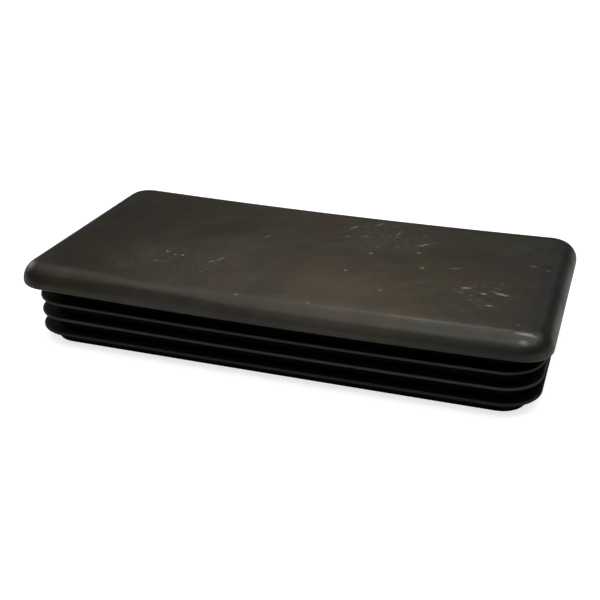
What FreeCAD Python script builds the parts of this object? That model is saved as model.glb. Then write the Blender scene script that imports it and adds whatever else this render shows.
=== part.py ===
"""Insert that closes the end of a rectangular tube, moulded in one piece.

The head is the plate that stays outside, flush with the tube. The skirt is the hollow box below it that goes
inside, ringed by thin fins that bend against the tube's bore and grip it. The foot is the skirt below the last fin.

The frame is in millimetres. The origin is the middle of the head's underside, which seats on the tube's end.
+X runs along the long side, +Y along the short side, and +Z out of the tube.
"""

import FreeCAD
import Part
import math
import os
import Sketcher

TOLERANCE = 0.001

# Driving sizes

SIZES = [
    ("head_length", 120.0, "outside of the tube, long side"),
    ("head_width", 60.0, "outside of the tube, short side"),
    ("head_height", 5.0, "head above the tube's end"),
    ("head_corner", 6.6, "corner radius of the head in plan"),
    ("edge_round", 4.4, "rounding of the head's top edge"),
    ("lip_round", 0.4, "rounding of the head's lower edge"),
    ("head_wall", 3.0, "thickness of the head over the hollow"),
    ("fin_inset", 1.75, "fin rims behind the head's outline, a little less than the tube's wall"),
    ("fin_reach", 3.1, "how far a fin stands out of the skirt"),
    ("fin_root", 1.2, "fin thickness inside the skirt's wall"),
    ("fin_rim", 0.7, "fin thickness at its rounded rim"),
    ("fin_count", 3, "number of fins"),
    ("first_fin", 4.0, "head's underside to the middle of the first fin"),
    ("fin_pitch", 3.75, "one fin to the next"),
    ("skirt_corner", 5.7, "corner radius of the skirt in plan"),
    ("skirt_wall", 2.2, "wall of the skirt"),
    ("foot_height", 3.4, "middle of the last fin to the foot's end"),
    ("foot_round", 0.4, "rounding of the foot's outer edge, a lead into the tube"),
    ("hollow_round", 1.0, "rounding where the hollow's walls meet its ceiling"),
    ("rib_height", 3.0, "ribs below the hollow's ceiling"),
    ("rib_wall", 1.6, "thickness of a rib"),
    ("rib_count", 3, "number of ribs across the hollow"),
    ("rib_pitch", 26.4, "one cross rib to the next"),
]

# What follows from them

SKIRT_INSET = "(sizes.fin_inset + sizes.fin_reach)"
SKIRT_LENGTH = f"(sizes.head_length - 2 * {SKIRT_INSET})"
SKIRT_WIDTH = f"(sizes.head_width - 2 * {SKIRT_INSET})"
SKIRT_DEPTH = "(sizes.first_fin + (sizes.fin_count - 1) * sizes.fin_pitch + sizes.foot_height)"
HOLLOW_LENGTH = f"({SKIRT_LENGTH} - 2 * sizes.skirt_wall)"
HOLLOW_WIDTH = f"({SKIRT_WIDTH} - 2 * sizes.skirt_wall)"
CEILING = "(sizes.head_height - sizes.head_wall)"


def new_sheet(document):
    """The sheet of driving sizes, one row each: what it is, and its value."""
    sheet = document.addObject("Spreadsheet::Sheet", "sizes")
    for row, (alias, value, meaning) in enumerate(SIZES, 1):
        sheet.set(f"A{row}", meaning)
        sheet.set(f"B{row}", str(value))
        sheet.setAlias(f"B{row}", alias)
    document.recompute()
    return sheet


def origin_feature(body, role):
    """One of the body's own planes or axes."""
    return next(item for item in body.Origin.OriginFeatures if item.Role == role)


def new_sketch(body, name, role="XY_Plane", height=None):
    """A sketch on one of the body's planes, raised by the height that the expression gives."""
    sketch = body.newObject("Sketcher::SketchObject", name)
    sketch.AttachmentSupport = (origin_feature(body, role), [""])
    sketch.MapMode = "FlatFace"
    if height:
        sketch.setExpression("AttachmentOffset.Base.z", height)
    return sketch


def bind(sketch, name, constraint, expression):
    """A dimension of the sketch that follows the sheet."""
    index = sketch.addConstraint(constraint)
    sketch.renameConstraint(index, name)
    sketch.setExpression(f"Constraints.{name}", expression)


def draw_rounded_rectangle(sketch, length, width, corner):
    """A rectangle centred on the sketch's origin, its four sides joined by tangent arcs."""
    half_x, half_y, radius = 20.0, 10.0, 3.0
    x, y = half_x - radius, half_y - radius
    up = FreeCAD.Vector(0, 0, 1)
    sides = [((-x, -half_y), (x, -half_y)), ((half_x, -y), (half_x, y)),
             ((x, half_y), (-x, half_y)), ((-half_x, y), (-half_x, -y))]
    centres = [(x, -y), (x, y), (-x, y), (-x, -y)]
    quarter = math.pi / 2
    for number, (side, centre) in enumerate(zip(sides, centres)):
        start, end = (FreeCAD.Vector(*point, 0) for point in side)
        circle = Part.Circle(FreeCAD.Vector(*centre, 0), up, radius)
        sketch.addGeometry(Part.LineSegment(start, end))
        sketch.addGeometry(Part.ArcOfCircle(circle, (number - 1) * quarter, number * quarter))
    for number in range(8):
        sketch.addConstraint(Sketcher.Constraint("Tangent", number, 2, (number + 1) % 8, 1))
    for line, direction in ((0, "Horizontal"), (2, "Vertical"), (4, "Horizontal"), (6, "Vertical")):
        sketch.addConstraint(Sketcher.Constraint(direction, line))
    for arc in (3, 5, 7):
        sketch.addConstraint(Sketcher.Constraint("Equal", 1, arc))
    sketch.addConstraint(Sketcher.Constraint("Symmetric", 0, 1, 4, 1, -1, 1))
    bind(sketch, "long_side", Sketcher.Constraint("DistanceX", 6, 1, 2, 1, 2 * half_x), length)
    bind(sketch, "short_side", Sketcher.Constraint("DistanceY", 0, 1, 4, 1, 2 * half_y), width)
    bind(sketch, "corner", Sketcher.Constraint("Radius", 1, radius), corner)


def draw_rectangle(sketch, left, length, width):
    """A sharp rectangle, centred on the sketch's X axis, that starts at the X of left."""
    corners = [FreeCAD.Vector(*point, 0) for point in ((-10, -1), (10, -1), (10, 1), (-10, 1))]
    for number in range(4):
        sketch.addGeometry(Part.LineSegment(corners[number], corners[(number + 1) % 4]))
    for number in range(4):
        sketch.addConstraint(Sketcher.Constraint("Coincident", number, 2, (number + 1) % 4, 1))
    for line, direction in ((0, "Horizontal"), (1, "Vertical"), (2, "Horizontal")):
        sketch.addConstraint(Sketcher.Constraint(direction, line))
    sketch.addConstraint(Sketcher.Constraint("Symmetric", 0, 1, 2, 2, -1))
    bind(sketch, "left", Sketcher.Constraint("DistanceX", 0, 1, -1, 1, 10), left)
    bind(sketch, "across", Sketcher.Constraint("DistanceX", 0, 1, 0, 2, 20), length)
    bind(sketch, "along", Sketcher.Constraint("DistanceY", 1, 1, 1, 2, 2), width)


def draw_fin(sketch):
    """A fin's section: two flanks that taper from the middle of the skirt's wall to a round rim."""
    root_x, rim_x, level, root, rim = 10.0, 14.0, -4.0, 0.6, 0.3
    lower_root = FreeCAD.Vector(root_x, level - root, 0)
    upper_root = FreeCAD.Vector(root_x, level + root, 0)
    upper_rim = FreeCAD.Vector(rim_x, level + rim, 0)
    lower_rim = FreeCAD.Vector(rim_x, level - rim, 0)
    circle = Part.Circle(FreeCAD.Vector(rim_x, level, 0), FreeCAD.Vector(0, 0, 1), rim)
    sketch.addGeometry(Part.LineSegment(lower_root, upper_root))
    sketch.addGeometry(Part.LineSegment(upper_root, upper_rim))
    sketch.addGeometry(Part.ArcOfCircle(circle, -math.pi / 2, math.pi / 2))
    sketch.addGeometry(Part.LineSegment(lower_rim, lower_root))
    for first, first_end, second, second_end in ((0, 2, 1, 1), (1, 2, 2, 2), (2, 1, 3, 1), (3, 2, 0, 1)):
        sketch.addConstraint(Sketcher.Constraint("Coincident", first, first_end, second, second_end))
    sketch.addConstraint(Sketcher.Constraint("Vertical", 0))
    sketch.addConstraint(Sketcher.Constraint("Vertical", 2, 1, 2, 2))
    sketch.addConstraint(Sketcher.Constraint("Vertical", 2, 1, 2, 3))
    bind(sketch, "root_x", Sketcher.Constraint("DistanceX", -1, 1, 0, 1, root_x),
         f"{SKIRT_LENGTH} / 2 - sizes.skirt_wall / 2")
    bind(sketch, "rim_x", Sketcher.Constraint("DistanceX", -1, 1, 2, 3, rim_x),
         "sizes.head_length / 2 - sizes.fin_inset - sizes.fin_rim / 2")
    bind(sketch, "level", Sketcher.Constraint("DistanceY", 2, 3, -1, 1, -level), "sizes.first_fin")
    bind(sketch, "root", Sketcher.Constraint("DistanceY", 0, 1, 0, 2, 2 * root), "sizes.fin_root")
    bind(sketch, "root_half", Sketcher.Constraint("DistanceY", 0, 1, 2, 3, root), "sizes.fin_root / 2")
    bind(sketch, "rim_radius", Sketcher.Constraint("Radius", 2, rim), "sizes.fin_rim / 2")


def add_pad(body, name, sketch, height, downwards=False):
    """Material from the sketch's outline, up or down by the height that the expression gives."""
    pad = body.newObject("PartDesign::Pad", name)
    pad.Profile = sketch
    pad.setExpression("Length", height)
    pad.Reversed = downwards
    return pad


def add_round(body, name, base, wanted, radius):
    """The rounding of those of the base's edges that the test picks."""
    body.Document.recompute()
    edges = [f"Edge{number}" for number, edge in enumerate(base.Shape.Edges, 1) if wanted(edge)]
    if not edges:
        raise RuntimeError(f"{name} finds no edge to round")
    fillet = body.newObject("PartDesign::Fillet", name)
    fillet.Base = (base, edges)
    fillet.setExpression("Radius", radius)
    return fillet


def add_row(body, name, original, axis, spacing, count, backwards=False):
    """Copies of a feature in a straight row along one of the body's axes."""
    row = body.newObject("PartDesign::LinearPattern", name)
    row.Originals = [original]
    row.Direction = (origin_feature(body, axis), [""])
    row.Reversed = backwards
    row.Mode = "Spacing"
    row.setExpression("Offset", spacing)
    row.setExpression("Occurrences", count)
    body.Tip = row
    return row


def level_edges(height):
    """A test for edges that lie flat at one height."""
    def wanted(edge):
        box = edge.BoundBox
        return abs(box.ZMin - height) < TOLERANCE and abs(box.ZMax - height) < TOLERANCE
    return wanted


def build_end_cap(document, sheet):
    """The whole moulding: head, skirt with its fins, hollow and ribs."""
    body = document.addObject("PartDesign::Body", "end_cap")
    body.Label = "end_cap"
    size = {alias: getattr(sheet, alias) for alias, value, meaning in SIZES}
    ceiling = size["head_height"] - size["head_wall"]
    foot_end = -(size["first_fin"] + (size["fin_count"] - 1) * size["fin_pitch"] + size["foot_height"])

    # Head: a plate as large as the tube's outside, its top edge rounded over almost the whole height
    head_outline = new_sketch(body, "head_outline")
    draw_rounded_rectangle(head_outline, "sizes.head_length", "sizes.head_width", "sizes.head_corner")
    head = add_pad(body, "head", head_outline, "sizes.head_height")
    top_edge = add_round(
        body, "head_top_edge", head, level_edges(size["head_height"]),
        "min(sizes.edge_round; sizes.head_corner - 0.2; sizes.head_height - sizes.lip_round - 0.2)")
    add_round(body, "head_lip", top_edge, level_edges(0.0), "sizes.lip_round")

    # Skirt: the box that goes into the tube, solid until the hollow is taken out of it
    skirt_outline = new_sketch(body, "skirt_outline")
    draw_rounded_rectangle(skirt_outline, SKIRT_LENGTH, SKIRT_WIDTH, "sizes.skirt_corner")
    skirt = add_pad(body, "skirt", skirt_outline, SKIRT_DEPTH, downwards=True)
    add_round(body, "foot_edge", skirt, level_edges(foot_end), "min(sizes.foot_round; sizes.skirt_wall / 2)")

    # Fins: one section carried round the skirt, then repeated down to the foot
    fin_section = new_sketch(body, "fin_section", "XZ_Plane")
    draw_fin(fin_section)
    fin = body.newObject("PartDesign::AdditivePipe", "fin")
    fin.Profile = fin_section
    fin.Spine = (skirt_outline, [f"Edge{number}" for number in range(1, 9)])
    fins = add_row(body, "fins", fin, "Z_Axis", "sizes.fin_pitch", "sizes.fin_count", backwards=True)

    # Hollow: open at the foot, it ends inside the head
    hollow_outline = new_sketch(body, "hollow_outline", height=f"-{SKIRT_DEPTH}")
    draw_rounded_rectangle(
        hollow_outline, HOLLOW_LENGTH, HOLLOW_WIDTH, "max(sizes.skirt_corner - sizes.skirt_wall; 0.5)")
    hollow = body.newObject("PartDesign::Pocket", "hollow")
    hollow.Profile = hollow_outline
    hollow.Reversed = True
    hollow.setExpression("Length", f"{SKIRT_DEPTH} + {CEILING}")
    add_round(body, "hollow_edge", hollow, level_edges(ceiling), "sizes.hollow_round")

    # Ribs: low walls under the ceiling, one along the hollow and a row across it, ending inside the skirt's wall
    long_rib_outline = new_sketch(body, "long_rib_outline", height=CEILING)
    draw_rectangle(
        long_rib_outline, f"{HOLLOW_LENGTH} / 2 + sizes.skirt_wall / 2",
        f"{HOLLOW_LENGTH} + sizes.skirt_wall", "sizes.rib_wall")
    add_pad(body, "long_rib", long_rib_outline, "sizes.rib_height", downwards=True)
    cross_rib_outline = new_sketch(body, "cross_rib_outline", height=CEILING)
    draw_rectangle(
        cross_rib_outline, "(sizes.rib_count - 1) * sizes.rib_pitch / 2 + sizes.rib_wall / 2",
        "sizes.rib_wall", f"{HOLLOW_WIDTH} + sizes.skirt_wall")
    cross_rib = add_pad(body, "cross_rib", cross_rib_outline, "sizes.rib_height", downwards=True)
    add_row(body, "cross_ribs", cross_rib, "X_Axis", "sizes.rib_pitch", "sizes.rib_count")

    document.recompute()
    if hollow.Shape.Volume >= fins.Shape.Volume:
        raise RuntimeError("the hollow cuts nothing")
    return body


def check(document, bodies):
    """Stops where a feature has failed, or a body isn't one valid solid."""
    for item in document.Objects:
        if any(state in ("Invalid", "Error") for state in item.State):
            raise RuntimeError(f"{item.Name} has failed: {item.State}")
    for body in bodies:
        if body.Shape.isNull() or not body.Shape.isValid():
            raise RuntimeError(f"{body.Label} isn't valid")
        if len(body.Shape.Solids) != 1:
            raise RuntimeError(f"{body.Label} isn't one solid")


document = FreeCAD.newDocument("tube_end_cap")
end_cap = build_end_cap(document, new_sheet(document))
document.recompute()
check(document, [end_cap])

os.makedirs("parts", exist_ok=True)
for sub_part in [end_cap]:
    sub_part.Shape.exportStep(f"parts/{sub_part.Label}.step")
    box = sub_part.Shape.BoundBox
    print(sub_part.Label, "volume", round(sub_part.Shape.Volume, 1), "size",
          round(box.XLength, 2), round(box.YLength, 2), round(box.ZLength, 2),
          "from", round(box.ZMin, 2), "to", round(box.ZMax, 2))
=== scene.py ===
import math

import bmesh
import bpy
from mathutils import Euler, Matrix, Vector


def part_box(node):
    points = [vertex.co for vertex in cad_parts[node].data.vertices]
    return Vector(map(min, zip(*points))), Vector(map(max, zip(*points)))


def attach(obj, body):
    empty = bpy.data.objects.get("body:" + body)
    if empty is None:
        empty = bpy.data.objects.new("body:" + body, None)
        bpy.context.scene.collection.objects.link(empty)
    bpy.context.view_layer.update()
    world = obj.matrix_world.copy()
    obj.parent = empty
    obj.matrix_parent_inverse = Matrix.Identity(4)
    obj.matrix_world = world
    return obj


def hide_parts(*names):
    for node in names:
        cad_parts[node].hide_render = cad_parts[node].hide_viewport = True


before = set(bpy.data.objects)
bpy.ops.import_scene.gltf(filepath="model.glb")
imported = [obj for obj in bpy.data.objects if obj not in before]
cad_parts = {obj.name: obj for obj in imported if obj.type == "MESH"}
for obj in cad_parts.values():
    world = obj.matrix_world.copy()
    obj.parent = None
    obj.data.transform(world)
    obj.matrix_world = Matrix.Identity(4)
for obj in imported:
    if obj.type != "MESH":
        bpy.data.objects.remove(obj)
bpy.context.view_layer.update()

# Skirt
# The hollow box that goes into the tube. It is black polyethylene, moulded in one shot with the head and the
# fins, and starts here as a solid block with its corners rounded.

head_low, head_high = (Vector(corner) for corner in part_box("end_cap"))
HEAD_LENGTH = head_high.x - head_low.x
HEAD_WIDTH = head_high.y - head_low.y
HEAD_TOP = head_high.z
FOOT_END = head_low.z

FIN_INSET = 0.00175
FIN_REACH = 0.0031
SKIRT_LENGTH = HEAD_LENGTH - 2 * (FIN_INSET + FIN_REACH)
SKIRT_WIDTH = HEAD_WIDTH - 2 * (FIN_INSET + FIN_REACH)
SKIRT_CORNER = 0.0057
CORNER_STEPS = 10


def add_block(name, size, middle):
    """A box of the given size, alone in the selection and open in edit mode."""
    bpy.ops.object.select_all(action="DESELECT")
    bpy.ops.mesh.primitive_cube_add(size=1, location=middle)
    block = bpy.context.object
    block.name = name
    block.scale = size
    bpy.ops.object.transform_apply(location=True, rotation=False, scale=True)
    bpy.ops.object.mode_set(mode="EDIT")
    return block


def select(block, kind, wanted):
    """Selects the faces, edges or vertices of the mesh in edit mode that the test picks, and nothing else."""
    bpy.ops.mesh.select_mode(type={"verts": "VERT", "edges": "EDGE", "faces": "FACE"}[kind])
    bpy.ops.mesh.select_all(action="DESELECT")
    mesh = bmesh.from_edit_mesh(block.data)
    for part in getattr(mesh, kind):
        if wanted(part):
            part.select_set(True)
    bmesh.update_edit_mesh(block.data)


def near(a, b):
    """True where two places are the same to a hundredth of a millimetre."""
    return abs(a - b) < 0.00001


def stands(edge):
    """True for an edge that runs straight up."""
    return near(edge.verts[0].co.x, edge.verts[1].co.x) and near(edge.verts[0].co.y, edge.verts[1].co.y)


def lies_at(height):
    """A test for edges and faces that lie flat at one height."""
    return lambda part: all(near(vert.co.z, height) for vert in part.verts)


def outlines_face_at(height):
    """A test for the edges between the flat face at one height and the wall beside it."""
    def wanted(edge):
        flat = [abs(face.normal.z) > 0.99 for face in edge.link_faces]
        return lies_at(height)(edge) and sorted(flat) == [False, True]
    return wanted


cap = add_block("end_cap_moulding", (SKIRT_LENGTH, SKIRT_WIDTH, -FOOT_END), (0, 0, FOOT_END / 2))
select(cap, "edges", stands)
bpy.ops.mesh.bevel(offset=SKIRT_CORNER, segments=CORNER_STEPS, affect="EDGES")

# Fins
# Three thin lips round the skirt that bend against the tube's bore and hold the cap in it. Each is drawn out
# of the skirt's wall, tapers to its rim, and has the rim rounded as the mould leaves it.

FIRST_FIN = -0.0040
FIN_PITCH = 0.00375
FIN_COUNT = 3
FIN_ROOT = 0.0012
FIN_RIM = 0.0007
FIN_RIM_ROUND = 0.00030

for number in range(FIN_COUNT):
    level = FIRST_FIN - number * FIN_PITCH
    for height in (level + FIN_ROOT / 2, level - FIN_ROOT / 2):
        bpy.ops.mesh.select_all(action="SELECT")
        bpy.ops.mesh.bisect(plane_co=(0, 0, height), plane_no=(0, 0, 1), threshold=0.000001)
    select(cap, "faces", lambda face: abs(face.normal.z) < 0.1 and near(face.calc_center_bounds().z, level))
    bpy.ops.mesh.extrude_region_shrink_fatten(
        TRANSFORM_OT_shrink_fatten={"value": FIN_REACH, "use_even_offset": True})
    bpy.ops.transform.resize(value=(1, 1, FIN_RIM / FIN_ROOT), center_override=(0, 0, level))

for number in range(FIN_COUNT):
    level = FIRST_FIN - number * FIN_PITCH
    rims = (level + FIN_RIM / 2, level - FIN_RIM / 2)
    select(cap, "edges", lambda edge: lies_at(rims[0])(edge) or lies_at(rims[1])(edge))
    bpy.ops.mesh.bevel(offset=FIN_RIM_ROUND, segments=3, affect="EDGES")

# Foot
# The skirt's lower edge, below the last fin. It leads the cap into the tube's bore as it is driven in, so its
# outer edge is rounded.

FOOT_ROUND = 0.0004

select(cap, "edges", outlines_face_at(FOOT_END))
bpy.ops.mesh.bevel(offset=FOOT_ROUND, segments=4, affect="EDGES")
bpy.ops.object.mode_set(mode="OBJECT")

# Head
# The plate that stays outside the tube, flush with it. Its top edge is rounded over almost the whole height,
# and the lower edge has the small radius of the mould's parting line.

HEAD_CORNER = 0.0066
EDGE_ROUND = 0.0044
LIP_ROUND = 0.0004

head = add_block("head", (HEAD_LENGTH, HEAD_WIDTH, HEAD_TOP), (0, 0, HEAD_TOP / 2))
select(head, "edges", stands)
bpy.ops.mesh.bevel(offset=HEAD_CORNER, segments=CORNER_STEPS, affect="EDGES")
select(head, "edges", outlines_face_at(HEAD_TOP))
bpy.ops.mesh.bevel(offset=EDGE_ROUND, segments=12, affect="EDGES")
select(head, "edges", outlines_face_at(0.0))
bpy.ops.mesh.bevel(offset=LIP_ROUND, segments=3, affect="EDGES")
bpy.ops.object.mode_set(mode="OBJECT")

# The head's underside and the skirt's top become one ring, the seat that stops the cap on the tube's end
bpy.ops.object.select_all(action="DESELECT")
head.select_set(True)
cap.select_set(True)
bpy.context.view_layer.objects.active = cap
bpy.ops.object.join()
bpy.ops.object.mode_set(mode="EDIT")
select(cap, "faces", lambda face: lies_at(0.0)(face) and len(face.verts) > 4)
bpy.ops.mesh.delete(type="FACE")
select(cap, "edges", lambda edge: edge.is_boundary)
bpy.ops.mesh.bridge_edge_loops()

# Hollow
# The moulding is cored from below, up into the head, so that its walls stay thin and even.

SKIRT_WALL = 0.0022
HEAD_WALL = 0.0030
HOLLOW_ROUND = 0.0010
CEILING = HEAD_TOP - HEAD_WALL

select(cap, "faces", lambda face: lies_at(FOOT_END)(face) and len(face.verts) > 4)
bpy.ops.mesh.inset(thickness=SKIRT_WALL - FOOT_ROUND, use_even_offset=True)
bpy.ops.mesh.extrude_region_move(TRANSFORM_OT_translate={"value": (0, 0, CEILING - FOOT_END)})
select(cap, "edges", outlines_face_at(CEILING))
bpy.ops.mesh.bevel(offset=HOLLOW_ROUND, segments=4, affect="EDGES")
bpy.ops.object.mode_set(mode="OBJECT")

# Ribs
# Low walls under the hollow's ceiling that keep the head flat: one along it and a row across. They are
# moulded with the rest, so each is merged into the walls where it ends.

RIB_HEIGHT = 0.0030
RIB_WALL = 0.0016
RIB_COUNT = 3
RIB_PITCH = 0.0264
RIB_EDGE = 0.0003
RIB_SINK = 0.0010

hollow_length = SKIRT_LENGTH - 2 * SKIRT_WALL
hollow_width = SKIRT_WIDTH - 2 * SKIRT_WALL
rib_middle = CEILING + (RIB_SINK - RIB_HEIGHT) / 2
rib_tall = RIB_HEIGHT + RIB_SINK


def merge_rib(size, x):
    """A rib of the given size, its lower edges softened, made one with the moulding."""
    rib = add_block("rib", size, (x, 0, rib_middle))
    select(rib, "edges", lies_at(CEILING - RIB_HEIGHT))
    bpy.ops.mesh.bevel(offset=RIB_EDGE, segments=2, affect="EDGES")
    bpy.ops.object.mode_set(mode="OBJECT")
    bpy.context.view_layer.objects.active = cap
    bpy.ops.object.modifier_add(type="BOOLEAN")
    union = cap.modifiers[-1]
    union.operation = "UNION"
    union.solver = "EXACT"
    union.object = rib
    bpy.ops.object.modifier_apply(modifier=union.name)
    bpy.data.objects.remove(rib)


merge_rib((hollow_length + SKIRT_WALL, RIB_WALL, rib_tall), 0)
for number in range(RIB_COUNT):
    merge_rib((RIB_WALL, hollow_width + SKIRT_WALL, rib_tall), (number - (RIB_COUNT - 1) / 2) * RIB_PITCH)

# Shape after cooling
# A long moulding doesn't come out straight: the head sinks between its ends, and the pull fades towards the
# foot. The mesh is cut into short stretches first, so that it can follow the curve, with the cuts shifted so
# that none falls on an edge that is there already.

STRETCH = 0.0040
STRETCH_SHIFT = 0.37
HEAD_SAG = 0.00081
SEAT_SAG = 0.00073
SKIRT_SAG = 0.00041
FOOT_SAG = 0.00008

bpy.ops.object.select_all(action="DESELECT")
cap.select_set(True)
bpy.context.view_layer.objects.active = cap
bpy.ops.object.mode_set(mode="EDIT")
for reach, direction in ((HEAD_LENGTH / 2, Vector((1, 0, 0))), (HEAD_WIDTH / 2, Vector((0, 1, 0)))):
    cuts = int(reach / STRETCH)
    for step in range(-cuts, cuts + 1):
        place = direction * (step + STRETCH_SHIFT) * STRETCH
        bpy.ops.mesh.select_all(action="SELECT")
        bpy.ops.mesh.bisect(plane_co=place, plane_no=direction, threshold=0.000001)
bpy.ops.object.mode_set(mode="OBJECT")

bpy.ops.object.add(type="LATTICE", location=(0, 0, (HEAD_TOP + FOOT_END) / 2))
cage = bpy.context.object
cage.scale = (HEAD_LENGTH, HEAD_WIDTH, HEAD_TOP - FOOT_END)
cage.data.points_u = 9
cage.data.points_v = 2
cage.data.points_w = 4
cage.data.interpolation_type_w = "KEY_LINEAR"
sags = (FOOT_SAG, SKIRT_SAG, SEAT_SAG, HEAD_SAG)
for point in cage.data.points:
    row = round((point.co.z + 0.5) * (len(sags) - 1))
    point.co_deform.z -= sags[row] / cage.scale.z * (1 - (2 * point.co.x) ** 2)
bpy.context.view_layer.objects.active = cap
bpy.ops.object.modifier_add(type="LATTICE")
cap.modifiers[-1].object = cage
bpy.context.view_layer.update()
bpy.ops.object.modifier_apply(modifier=cap.modifiers[-1].name)
bpy.data.objects.remove(cage)

# The front edge is fuller over a short stretch at the left, where its rounding starts further out. Each swell
# has how far it reaches along the edge, how far it comes out and how far it rises.
SWELL_ROW = -0.0281
SWELL_ROW_WIDTH = 0.0008
SWELL_MIDDLE = -0.0248
SWELL_FADE = 0.0034
SMOOTH_BELOW = 35
SWELLS = (
    (0.0150, 0.00030, 0.00012),
    (0.0090, 0.00040, 0.00012),
)

bpy.ops.object.select_all(action="DESELECT")
cap.select_set(True)
bpy.ops.object.mode_set(mode="EDIT")
for reach, out, rise in SWELLS:
    select(cap, "verts", lambda vert: (abs(vert.co.x - SWELL_MIDDLE) < reach
                                       and abs(vert.co.y - SWELL_ROW) < SWELL_ROW_WIDTH
                                       and vert.co.z > HEAD_TOP / 3))
    bpy.ops.transform.translate(
        value=(0, -out, rise), use_proportional_edit=True, proportional_edit_falloff="SHARP",
        proportional_size=SWELL_FADE, use_proportional_connected=True)
bpy.ops.object.mode_set(mode="OBJECT")
bpy.ops.object.shade_smooth_by_angle(angle=math.radians(SMOOTH_BELOW))

# Plastic
# Black polyethylene, satin as it leaves the mould. The head has been handled, so its gloss is uneven and it
# carries pale scuffs and dust, warm pale patches of painted sheen on the front of its top and two painted
# highlights at its front right corner. The skirt is painted darker than the head, as painted shade between
# the fins, and the fins' rims carry a painted highlight on their upper rounding.

# A Mix node's colours share their names with its other sockets, so they go by number
MIX_FIRST = 6
MIX_SECOND = 7
MIX_RESULT = 2


def add_node(tree, kind, inputs, **settings):
    """A shader node with its settings, each input set to a value or fed by another node's output."""
    made = tree.nodes.new("ShaderNode" + kind)
    for name, value in settings.items():
        setattr(made, name, value)
    for name, value in inputs.items():
        if isinstance(value, bpy.types.NodeSocket):
            tree.links.new(value, made.inputs[name])
        else:
            made.inputs[name].default_value = value
    return made


def new_effect(name, inputs, outputs):
    """An empty node group with float inputs and the given outputs, and the nodes at its two ends."""
    effect = bpy.data.node_groups.new(name, "ShaderNodeTree")
    for label, value in inputs.items():
        socket = effect.interface.new_socket(label, in_out="INPUT", socket_type="NodeSocketFloat")
        socket.default_value = value
    for label, kind in outputs.items():
        effect.interface.new_socket(label, in_out="OUTPUT", socket_type=kind)
    return effect, effect.nodes.new("NodeGroupInput"), effect.nodes.new("NodeGroupOutput")


# How far a place stands inside the outline of a rounded rectangle, in metres
outline_depth, given, result = new_effect(
    "outline_depth", {"Half Length": 0.06, "Half Width": 0.03, "Corner": 0.006}, {"Depth": "NodeSocketFloat"})
place = add_node(outline_depth, "TexCoord", {})
folded = add_node(outline_depth, "VectorMath", {0: place.outputs["Object"]}, operation="ABSOLUTE")
half = add_node(
    outline_depth, "CombineXYZ", {"X": given.outputs["Half Length"], "Y": given.outputs["Half Width"]})
corner = add_node(outline_depth, "CombineXYZ", {"X": given.outputs["Corner"], "Y": given.outputs["Corner"]})
straight = add_node(
    outline_depth, "VectorMath", {0: half.outputs[0], 1: corner.outputs[0]}, operation="SUBTRACT")
beyond = add_node(
    outline_depth, "VectorMath", {0: folded.outputs[0], 1: straight.outputs[0]}, operation="SUBTRACT")
kept = add_node(outline_depth, "VectorMath", {0: beyond.outputs[0], 1: (0, 0, 0)}, operation="MAXIMUM")
flat = add_node(outline_depth, "VectorMath", {0: kept.outputs[0], 1: (1, 1, 0)}, operation="MULTIPLY")
reach = add_node(outline_depth, "VectorMath", {0: flat.outputs[0]}, operation="LENGTH")
depth = add_node(
    outline_depth, "Math", {0: given.outputs["Corner"], 1: reach.outputs["Value"]}, operation="SUBTRACT")
outline_depth.links.new(depth.outputs[0], result.inputs["Depth"])

# The moulded skin: a fine grain over waves of every size, with a cloudy mask of the same unevenness
moulded_skin, given, result = new_effect(
    "moulded_skin", {"Grain Height": 0.00001, "Wave Height": 0.0003},
    {"Cloud": "NodeSocketFloat", "Normal": "NodeSocketVector"})
place = add_node(moulded_skin, "TexCoord", {})
grain = add_node(moulded_skin, "TexNoise", {"Vector": place.outputs["Object"], "Scale": 2600, "Detail": 2})
waves = add_node(
    moulded_skin, "TexNoise",
    {"Vector": place.outputs["Object"], "Scale": 50, "Detail": 5, "Roughness": 0.42})
cloud = add_node(
    moulded_skin, "TexNoise",
    {"Vector": place.outputs["Object"], "Scale": 85, "Detail": 3, "Roughness": 0.5, "Distortion": 0.2})
cloud_mask = add_node(
    moulded_skin, "MapRange", {"Value": cloud.outputs["Fac"], "From Min": 0.30, "From Max": 0.70})
wave_bump = add_node(
    moulded_skin, "Bump", {"Height": waves.outputs["Fac"], "Distance": given.outputs["Wave Height"]})
grain_bump = add_node(
    moulded_skin, "Bump", {"Height": grain.outputs["Fac"], "Distance": given.outputs["Grain Height"],
                           "Normal": wave_bump.outputs["Normal"]})
moulded_skin.links.new(cloud_mask.outputs["Result"], result.inputs["Cloud"])
moulded_skin.links.new(grain_bump.outputs["Normal"], result.inputs["Normal"])

# A ragged spot: a small patch with a broken edge, drawn out along its length, used for the nicks and for
# painted highlights
ragged_spot, given, result = new_effect(
    "ragged_spot", {"X": 0.0, "Y": 0.0, "Angle": 0.0, "Length": 0.001, "Width": 0.0004}, {"Mask": "NodeSocketFloat"})
place = add_node(ragged_spot, "TexCoord", {})
middle = add_node(ragged_spot, "CombineXYZ", {"X": given.outputs["X"], "Y": given.outputs["Y"]})
moved = add_node(ragged_spot, "VectorMath", {0: place.outputs["Object"], 1: middle.outputs[0]}, operation="SUBTRACT")
turned = add_node(
    ragged_spot, "VectorRotate", {"Vector": moved.outputs[0], "Angle": given.outputs["Angle"]},
    rotation_type="Z_AXIS", invert=True)
spread = add_node(
    ragged_spot, "CombineXYZ", {"X": given.outputs["Length"], "Y": given.outputs["Width"], "Z": 1.0})
scaled = add_node(ragged_spot, "VectorMath", {0: turned.outputs[0], 1: spread.outputs[0]}, operation="DIVIDE")
away = add_node(ragged_spot, "VectorMath", {0: scaled.outputs[0]}, operation="LENGTH")
crumbs = add_node(ragged_spot, "TexNoise", {"Vector": place.outputs["Object"], "Scale": 1900, "Detail": 1})
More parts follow.
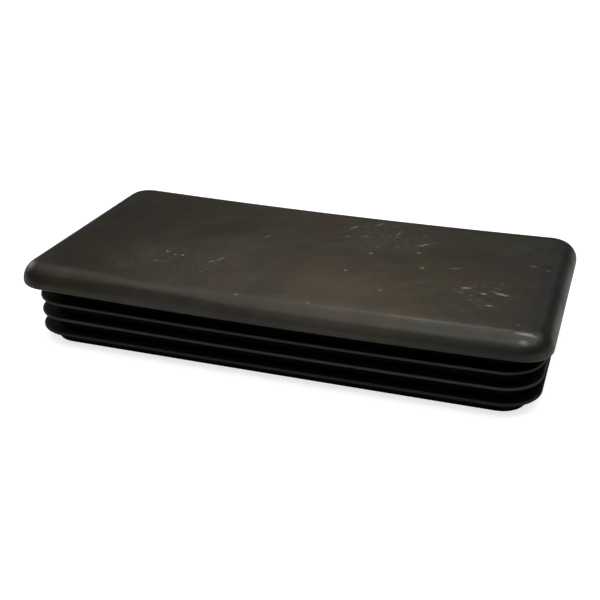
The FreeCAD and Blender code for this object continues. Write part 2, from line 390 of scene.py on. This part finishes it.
ragged = add_node(ragged_spot, "Math", {0: away.outputs["Value"], 1: crumbs.outputs["Fac"]}, operation="ADD")
patch = add_node(ragged_spot, "MapRange", {"Value": ragged.outputs[0], "From Min": 1.60, "From Max": 0.75})
ragged_spot.links.new(patch.outputs["Result"], result.inputs["Mask"])

HEAD_DARK = (0.0065, 0.0058, 0.0047, 1)
HEAD_PALE = (0.0270, 0.0212, 0.0150, 1)
HEAD_GREY = (0.0145, 0.0156, 0.0140, 1)
# The pale colour of the scuffs and nicks, also used for the painted highlights at the front right corner
SCUFF_AND_GLINT = (0.24, 0.23, 0.21, 1)
# Painted sheen: the warm pale colour of the patches on the front of the top
SHEEN_PATCH_COLOUR = (0.050, 0.041, 0.032, 1)
GREYED_SHARE = 0.8
SCUFFED_SHARE = 0.42
SHEEN_PATCH_SHARE = 0.60
TINTS = 0.009
SHEEN_TINT = (1.0, 0.975, 0.94, 1)
GLOSS_INDEX = 1.45

head_plastic = bpy.data.materials.new("head_plastic")
head_plastic.use_nodes = True
tree = head_plastic.node_tree
skin = tree.nodes["Principled BSDF"]
place = add_node(tree, "TexCoord", {}).outputs["Object"]
moulded = add_node(tree, "Group", {}, node_tree=moulded_skin)
moulded.inputs["Grain Height"].default_value = 0.000012
moulded.inputs["Wave Height"].default_value = 0.00045
body = add_node(
    tree, "Mix", {"Factor": moulded.outputs["Cloud"], MIX_FIRST: HEAD_DARK, MIX_SECOND: HEAD_PALE},
    data_type="RGBA")
greying = add_node(tree, "TexNoise", {"Vector": place, "Scale": 150, "Detail": 3})
grey_mask = add_node(
    tree, "MapRange",
    {"Value": greying.outputs["Fac"], "From Min": 0.45, "From Max": 0.60, "To Max": GREYED_SHARE})
body = add_node(
    tree, "Mix",
    {"Factor": grey_mask.outputs["Result"], MIX_FIRST: body.outputs[MIX_RESULT], MIX_SECOND: HEAD_GREY},
    data_type="RGBA")
tinting = add_node(tree, "TexNoise", {"Vector": place, "Scale": 230, "Detail": 2, "Roughness": 0.6})
body = add_node(
    tree, "Mix",
    {"Factor": TINTS, MIX_FIRST: body.outputs[MIX_RESULT], MIX_SECOND: tinting.outputs["Color"]},
    data_type="RGBA", blend_type="LINEAR_LIGHT")

# Scuffed areas: crumbs of pale plastic, close together where the head has been dragged
SCUFFED_AREAS = (
    (-0.0240, -0.0150, 0.0150),
    (0.0150, 0.0160, 0.0130),
    (0.0420, -0.0120, 0.0090),
)
dragged = add_node(
    tree, "Mapping", {"Vector": place, "Rotation": (0, 0, math.radians(-38)), "Scale": (700, 1700, 700)})
crumbs = add_node(tree, "TexNoise", {"Vector": dragged.outputs[0], "Scale": 1, "Detail": 3})
crumb_mask = add_node(
    tree, "MapRange",
    {"Value": crumbs.outputs["Fac"], "From Min": 0.56, "From Max": 0.74, "To Max": SCUFFED_SHARE})

# Sheen patches: painted sheen, warmer and paler areas on the front half of the top where the lamps' broad
# reflection lies
SHEEN_PATCH_AREAS = (
    (-0.0200, -0.0170, 0.0270),
    (0.0100, -0.0180, 0.0240),
)

# Both kinds get uneven borders from places that stray to either side
STRAY = 0.013
straying = add_node(tree, "TexNoise", {"Vector": place, "Scale": 110, "Detail": 3})
strayed = add_node(
    tree, "VectorMath", {0: straying.outputs["Color"], 1: (2 * STRAY, 2 * STRAY, 0), 2: place},
    operation="MULTIPLY_ADD")
strayed = add_node(tree, "VectorMath", {0: strayed.outputs[0], 1: (STRAY, STRAY, 0)}, operation="SUBTRACT")


def any_of(areas):
    """A mask of soft uneven areas on the head's top, each given by its middle and how far it reaches."""
    mask = None
    for x, y, spread in areas:
        away = add_node(
            tree, "VectorMath", {0: strayed.outputs[0], 1: (x, y, HEAD_TOP - HEAD_SAG)}, operation="DISTANCE")
        area = add_node(
            tree, "MapRange", {"Value": away.outputs["Value"], "From Min": spread, "From Max": spread / 3})
        if mask is None:
            mask = area.outputs["Result"]
        else:
            mask = add_node(
                tree, "Math", {0: mask, 1: area.outputs["Result"]}, operation="MAXIMUM").outputs[0]
    return mask


marks_and_glints = add_node(
    tree, "Math", {0: crumb_mask.outputs["Result"], 1: any_of(SCUFFED_AREAS)},
    operation="MULTIPLY").outputs[0]
# The painted sheen is mixed into the top's colour
sheen_patches = add_node(tree, "MapRange", {"Value": any_of(SHEEN_PATCH_AREAS), "To Max": SHEEN_PATCH_SHARE})
body = add_node(
    tree, "Mix",
    {"Factor": sheen_patches.outputs["Result"], MIX_FIRST: body.outputs[MIX_RESULT], MIX_SECOND: SHEEN_PATCH_COLOUR},
    data_type="RGBA")

# Single nicks and two painted highlights: where each lies, how far it turns from the long side, its half
# length and half width, how pale
NICKS_AND_GLINTS = (
    (-0.0311, -0.0103, 0, 0.00050, 0.00042, 0.9),
    (-0.0287, -0.0114, 0, 0.00045, 0.00035, 0.7),
    (-0.0270, -0.0110, 0, 0.00050, 0.00036, 0.9),
    (-0.0312, -0.0161, 0, 0.00055, 0.00050, 0.4),
    (-0.0192, -0.0121, 38, 0.00110, 0.00035, 0.7),
    (-0.0178, -0.0100, 45, 0.00120, 0.00035, 0.6),
    (-0.0126, 0.0065, 72, 0.00150, 0.00030, 0.5),
    (0.0055, 0.0189, 63, 0.00180, 0.00040, 0.6),
    (0.0111, 0.0229, 61, 0.00230, 0.00030, 0.5),
    (0.0098, 0.0142, 27, 0.00110, 0.00035, 0.4),
    (0.0058, 0.0127, 0, 0.00040, 0.00060, 0.5),
    (0.0171, 0.0182, 83, 0.00260, 0.00030, 0.4),
    (0.0246, 0.0128, 46, 0.00200, 0.00045, 0.7),
    (0.0188, 0.0100, 0, 0.00045, 0.00040, 0.4),
    (0.0245, 0.0077, 0, 0.00080, 0.00060, 0.5),
    (0.0139, 0.0042, 0, 0.00060, 0.00045, 0.8),
    (0.0273, -0.0006, 0, 0.00055, 0.00060, 0.9),
    (0.0112, -0.0071, 0, 0.00045, 0.00045, 1.0),
    (0.0214, -0.0150, 0, 0.00045, 0.00045, 0.9),
    (0.0345, 0.0011, 23, 0.00180, 0.00040, 0.4),
    (0.0389, -0.0086, 7, 0.00140, 0.00060, 0.8),
    (0.0431, -0.0106, -5, 0.00080, 0.00045, 0.9),
    (0.0468, -0.0099, -16, 0.00200, 0.00055, 1.0),
    (0.0452, -0.0161, -9, 0.00100, 0.00045, 0.7),
    (0.0515, 0.0073, -7, 0.00090, 0.00040, 0.5),
    (0.0549, 0.0057, -21, 0.00080, 0.00040, 0.4),
    # These two are painted highlights, the glints on the front right corner's rounding, not nicks
    (0.0543, -0.0267, 4, 0.00260, 0.00050, 0.9),
    (0.0542, -0.0285, 0, 0.00110, 0.00050, 0.6),
    (0.0523, -0.0234, 0, 0.00040, 0.00040, 0.4),
    (-0.0072, -0.0264, 0, 0.00060, 0.00050, 0.5),
    (0.0086, -0.0257, 0, 0.00050, 0.00050, 0.6),
)
for x, y, angle, length, width, paleness in NICKS_AND_GLINTS:
    one = add_node(tree, "Group", {}, node_tree=ragged_spot)
    one.inputs["X"].default_value = x
    one.inputs["Y"].default_value = y
    one.inputs["Angle"].default_value = math.radians(angle)
    one.inputs["Length"].default_value = length
    one.inputs["Width"].default_value = width
    pale = add_node(tree, "Math", {0: one.outputs["Mask"], 1: paleness}, operation="MULTIPLY")
    marks_and_glints = add_node(tree, "Math", {0: marks_and_glints, 1: pale.outputs[0]}, operation="MAXIMUM").outputs[0]
# Scuffs, nicks and the painted highlights are laid over the top's colour
marked_and_glinted = add_node(
    tree, "Mix", {"Factor": marks_and_glints, MIX_FIRST: body.outputs[MIX_RESULT], MIX_SECOND: SCUFF_AND_GLINT}, data_type="RGBA")
tree.links.new(marked_and_glinted.outputs[MIX_RESULT], skin.inputs["Base Color"])

# The gloss is uneven. Where the flat top turns into its rounding, handling has polished the right end and
# dulled the rest.
ROUGHEST = 0.41
SMOOTHEST = 0.29
LEAST_ROUGHNESS = 0.28
POLISHED_DEPTH = 0.0037
POLISHED_REACH = 0.0030
POLISHED_CORE = 0.0002
POLISHED_FROM = 0.018
POLISHED_FULLY_FROM = 0.036
POLISH = 0.07
DULLING = 0.05
edge = add_node(tree, "Group", {}, node_tree=outline_depth)
edge.inputs["Half Length"].default_value = HEAD_LENGTH / 2
edge.inputs["Half Width"].default_value = HEAD_WIDTH / 2
edge.inputs["Corner"].default_value = HEAD_CORNER
off = add_node(tree, "Math", {0: edge.outputs["Depth"], 1: POLISHED_DEPTH}, operation="SUBTRACT")
off = add_node(tree, "Math", {0: off.outputs[0]}, operation="ABSOLUTE")
along = add_node(tree, "SeparateXYZ", {0: place})
polishing = add_node(
    tree, "MapRange",
    {"Value": along.outputs["X"], "From Min": POLISHED_FROM, "From Max": POLISHED_FULLY_FROM,
     "To Min": -DULLING, "To Max": POLISH})
polish = add_node(
    tree, "MapRange",
    {"Value": off.outputs[0], "From Min": POLISHED_REACH, "From Max": POLISHED_CORE,
     "To Max": polishing.outputs["Result"]})
rough = add_node(
    tree, "MapRange", {"Value": moulded.outputs["Cloud"], "To Min": ROUGHEST, "To Max": SMOOTHEST})
rough = add_node(
    tree, "Math", {0: rough.outputs["Result"], 1: polish.outputs["Result"]}, operation="SUBTRACT")
rough = add_node(tree, "Math", {0: rough.outputs[0], 1: LEAST_ROUGHNESS}, operation="MAXIMUM")
tree.links.new(rough.outputs[0], skin.inputs["Roughness"])
tree.links.new(moulded.outputs["Normal"], skin.inputs["Normal"])
skin.inputs["IOR"].default_value = GLOSS_INDEX
skin.inputs["Specular Tint"].default_value = SHEEN_TINT

# Painted shade: the skirt is painted much darker than the head, though it is the same plastic, for the gaps
# between the fins that lie in the head's shadow
SKIRT_PAINTED_SHADE = (0.0020, 0.0018, 0.0016, 1)
# Painted highlight: the rims are painted pale where they face up into the light, the lower, less lit last rim
# only in part
RIM_PAINTED_HIGHLIGHT = (0.049, 0.050, 0.052, 1)
RIM_HIGHLIGHT_DEPTH = 0.0004
RIM_HIGHLIGHT_CORE = 0.0001
LAST_RIM = -0.0110
LAST_RIM_FADE = 0.0020
LAST_RIM_HIGHLIGHT_SHARE = 0.40
SKIRT_ROUGHNESS = 0.5
SKIRT_SHEEN = 0.15

skirt_plastic = bpy.data.materials.new("skirt_plastic")
skirt_plastic.use_nodes = True
tree = skirt_plastic.node_tree
skin = tree.nodes["Principled BSDF"]
moulded = add_node(tree, "Group", {}, node_tree=moulded_skin)
moulded.inputs["Grain Height"].default_value = 0.000008
moulded.inputs["Wave Height"].default_value = 0.00015
rims = add_node(tree, "Group", {}, node_tree=outline_depth)
rims.inputs["Half Length"].default_value = HEAD_LENGTH / 2 - FIN_INSET
rims.inputs["Half Width"].default_value = HEAD_WIDTH / 2 - FIN_INSET
rims.inputs["Corner"].default_value = SKIRT_CORNER + FIN_REACH
# Painted highlight on the rims: pale at their outer edge, only on the upward-facing rounding, weaker on the
# last rim
rim_highlight = add_node(
    tree, "MapRange", {"Value": rims.outputs["Depth"], "From Min": RIM_HIGHLIGHT_DEPTH, "From Max": RIM_HIGHLIGHT_CORE})
place = add_node(tree, "TexCoord", {})
height = add_node(tree, "SeparateXYZ", {0: place.outputs["Object"]})
upper = add_node(
    tree, "MapRange",
    {"Value": height.outputs["Z"], "From Min": LAST_RIM, "From Max": LAST_RIM + LAST_RIM_FADE,
     "To Min": LAST_RIM_HIGHLIGHT_SHARE})
facing = add_node(tree, "SeparateXYZ", {0: place.outputs["Normal"]})
lit_facing_up = add_node(tree, "MapRange", {"Value": facing.outputs["Z"], "From Min": -0.5, "From Max": 0.0})
rim_highlight = add_node(
    tree, "Math", {0: rim_highlight.outputs["Result"], 1: upper.outputs["Result"]}, operation="MULTIPLY")
rim_highlight = add_node(
    tree, "Math", {0: rim_highlight.outputs[0], 1: lit_facing_up.outputs["Result"]}, operation="MULTIPLY")
body = add_node(
    tree, "Mix", {"Factor": rim_highlight.outputs[0], MIX_FIRST: SKIRT_PAINTED_SHADE, MIX_SECOND: RIM_PAINTED_HIGHLIGHT}, data_type="RGBA")
tree.links.new(body.outputs[MIX_RESULT], skin.inputs["Base Color"])
tree.links.new(moulded.outputs["Normal"], skin.inputs["Normal"])
skin.inputs["Roughness"].default_value = SKIRT_ROUGHNESS
skin.inputs["Specular IOR Level"].default_value = SKIRT_SHEEN
skin.inputs["IOR"].default_value = GLOSS_INDEX

cap.data.materials.clear()
cap.data.materials.append(head_plastic)
cap.data.materials.append(skirt_plastic)
for face in cap.data.polygons:
    outside = face.center.z > -SEAT_SAG - LIP_ROUND / 4 and face.normal.z > -0.9
    in_plan = abs(face.center.x) < hollow_length / 2 and abs(face.center.y) < hollow_width / 2
    inside = in_plan and face.normal.z < 0.5
    face.material_index = 0 if outside and not inside else 1

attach(cap, "root")
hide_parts("end_cap")

# Floor, light and camera
# A sheet of white paper that turns up at its far edges, two large softboxes overhead and small ones round the
# cap. The camera stands a little to the right of the front, low over the paper.

PAPER = (0.62, 0.65, 0.70, 1)
PAPER_GLOW = 0.75
PAPER_SIZE = 6
PAPER_EDGE = 0.42
PAPER_ROUGHNESS = 0.9
ROOM = (0.05, 0.05, 0.05, 1)

bpy.ops.object.select_all(action="DESELECT")
bpy.ops.mesh.primitive_plane_add(size=PAPER_SIZE, location=(0, 0, FOOT_END - FOOT_SAG))
floor = bpy.context.object
floor.name = "floor"
bpy.ops.object.mode_set(mode="EDIT")
select(floor, "edges", lambda edge: edge.is_boundary)
bpy.ops.mesh.extrude_region_move(TRANSFORM_OT_translate={"value": (0, 0, PAPER_EDGE)})
bpy.ops.object.mode_set(mode="OBJECT")
paper = bpy.data.materials.new("floor_paper")
paper.use_nodes = True
tree = paper.node_tree
sheet = tree.nodes["Principled BSDF"]
sheet.inputs["Base Color"].default_value = PAPER
sheet.inputs["Roughness"].default_value = PAPER_ROUGHNESS
sheet.inputs["Specular IOR Level"].default_value = 0.0
sheet.inputs["Emission Color"].default_value = (1, 1, 1, 1)
rays = add_node(tree, "LightPath", {})
glow = add_node(tree, "Math", {0: rays.outputs["Is Camera Ray"], 1: PAPER_GLOW}, operation="MULTIPLY")
tree.links.new(glow.outputs[0], sheet.inputs["Emission Strength"])
floor.data.materials.append(paper)

world = bpy.data.worlds.new("studio")
bpy.context.scene.world = world
world.use_nodes = True
background = world.node_tree.nodes["Background"]
background.inputs["Color"].default_value = ROOM
background.inputs["Strength"].default_value = 1.0


def add_lamp(name, watts, size, azimuth, elevation, distance, colour):
    """A square softbox that looks at the cap from the given direction, azimuth 0 being the front."""
    azimuth, elevation = math.radians(azimuth), math.radians(elevation)
    towards = Vector((math.sin(azimuth) * math.cos(elevation), -math.cos(azimuth) * math.cos(elevation),
                      math.sin(elevation)))
    lamp = bpy.data.lights.new(name, "AREA")
    lamp.energy = watts
    lamp.color = colour
    lamp.size = size
    holder = bpy.data.objects.new(name, lamp)
    holder.location = towards * distance
    holder.rotation_euler = towards.to_track_quat("Z", "Y").to_euler()
    bpy.context.scene.collection.objects.link(holder)


add_lamp("lamp_overhead", 5.6, 1.40, 190, 86, 0.85, (1.0, 0.92, 0.80))
add_lamp("lamp_overhead_right", 3.2, 1.00, 90, 72, 0.85, (0.95, 1.0, 0.90))
add_lamp("lamp_back_low", 0.21, 0.22, 195, 37, 0.9, (1.0, 0.75, 0.36))
add_lamp("lamp_back_high", 0.33, 0.24, 194, 46, 0.9, (0.76, 0.86, 1.0))
add_lamp("lamp_front_low", 0.36, 0.50, 347, 24, 0.9, (0.95, 0.98, 1.0))
add_lamp("lamp_front_high", 0.85, 0.36, 0, 55, 0.9, (0.93, 1.0, 0.98))
add_lamp("lamp_left", 0.95, 0.30, 246, 16, 0.9, (1.0, 0.86, 0.76))
add_lamp("lamp_right", 0.05, 0.26, 170, 28, 0.9, (0.66, 0.84, 1.0))

AZIMUTH = 15.9
ELEVATION = 25.44
ROLL = 1.07
DISTANCE = 0.23424
ASIDE = 0.01178
ABOVE = -0.00729
FOCAL_PIXELS = 994.4
AXIS_PIXELS = 58.9
FRAME_PIXELS = 600
SENSOR = 36

lens = bpy.data.cameras.new("camera")
lens.sensor_width = SENSOR
lens.lens = FOCAL_PIXELS / FRAME_PIXELS * SENSOR
lens.shift_x = -AXIS_PIXELS / FRAME_PIXELS
lens.clip_start = 0.01
camera = bpy.data.objects.new("camera", lens)
turn = (Euler((0, 0, math.radians(AZIMUTH))).to_matrix()
        @ Euler((math.radians(90 - ELEVATION), 0, 0)).to_matrix()
        @ Euler((0, 0, math.radians(ROLL))).to_matrix())
camera.location = turn @ Vector((ASIDE, ABOVE, DISTANCE))
camera.rotation_euler = turn.to_euler()
bpy.context.scene.collection.objects.link(camera)
bpy.context.scene.camera = camera
bpy.context.scene.view_settings.view_transform = "Standard"
